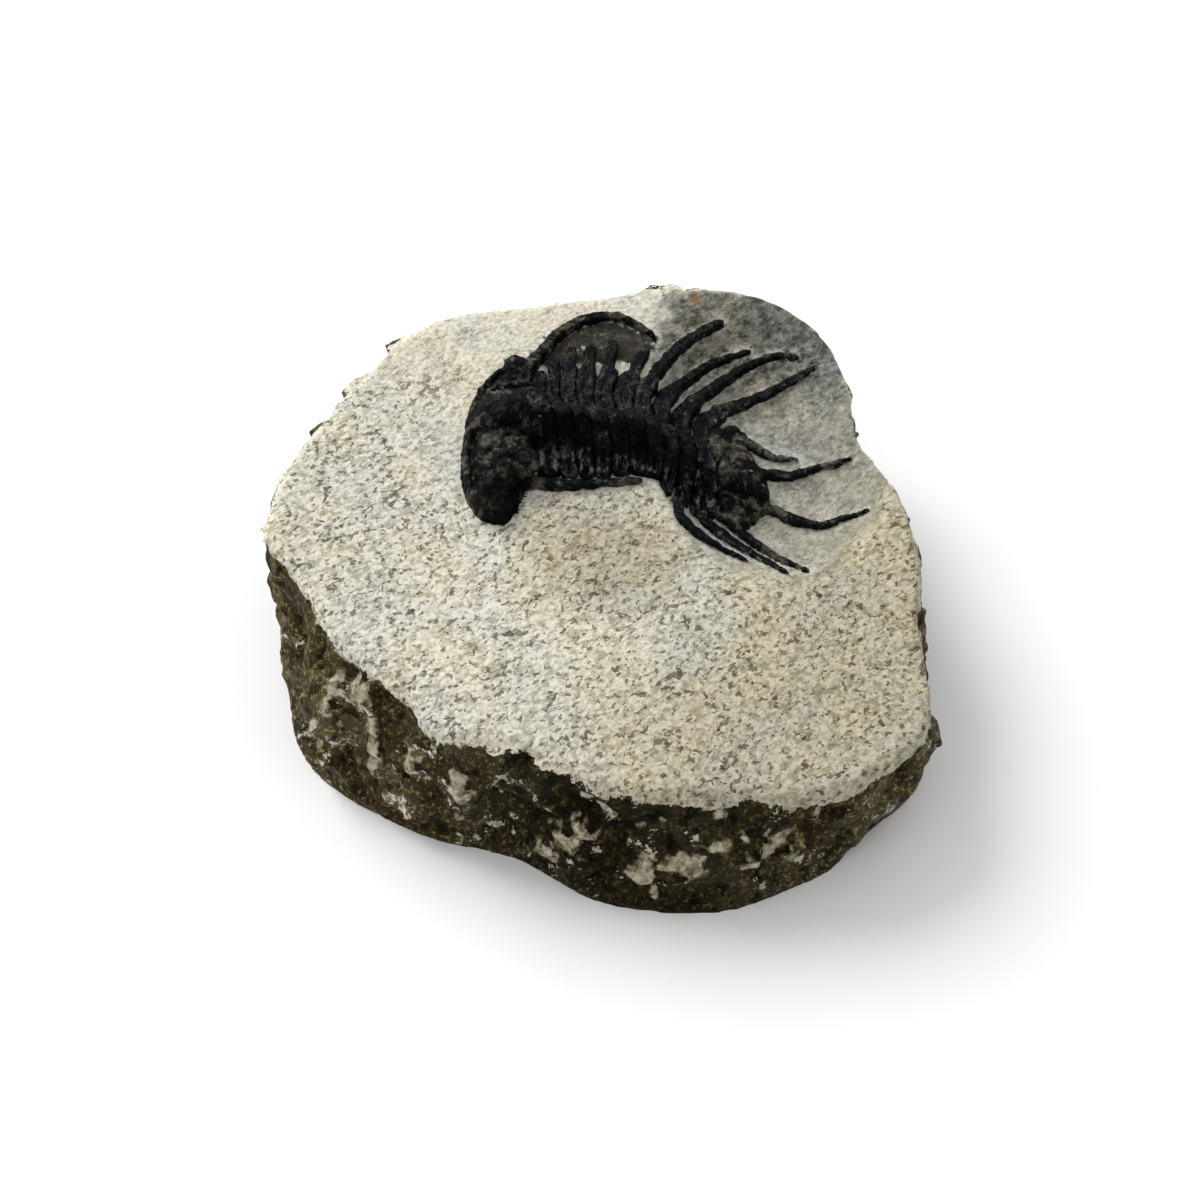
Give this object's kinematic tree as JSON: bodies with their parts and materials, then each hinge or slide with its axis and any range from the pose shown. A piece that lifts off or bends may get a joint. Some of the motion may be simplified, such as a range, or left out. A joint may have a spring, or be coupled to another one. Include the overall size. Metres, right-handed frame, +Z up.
{
  "type": "trilobite fossil",
  "caption": "Spiny black trilobite prepared in relief on a rough block of pale limestone, its tail lying in a worked hollow; rests on a flat underside for display.",
  "frame": {"origin": "middle of the bounding box in plan, on the flat underside of the block", "axes": "+Z up out of the prepared face, +X from the head towards the tail, +Y towards the thicker edge of the block"},
  "size_m": [0.107, 0.108, 0.0382],
  "materials": {
    "limestone": "rough, granular, with a dark weathered rind on the broken sides",
    "head_shield": "dark mineral, softly glossy",
    "body_rings": "dark mineral, softly glossy",
    "tail_shield": "dark mineral, softly glossy"
  },
  "bodies": {
    "root": {"matrix": "limestone", "cephalon": "head_shield", "thorax_segment_01": "body_rings", "thorax_segment_02": "body_rings", "thorax_segment_03": "body_rings", "thorax_segment_04": "body_rings", "thorax_segment_05": "body_rings", "thorax_segment_06": "body_rings", "thorax_segment_07": "body_rings", "thorax_segment_08": "body_rings", "thorax_segment_09": "body_rings", "thorax_segment_10": "body_rings", "pygidium": "tail_shield"}
  },
  "joints": []
}
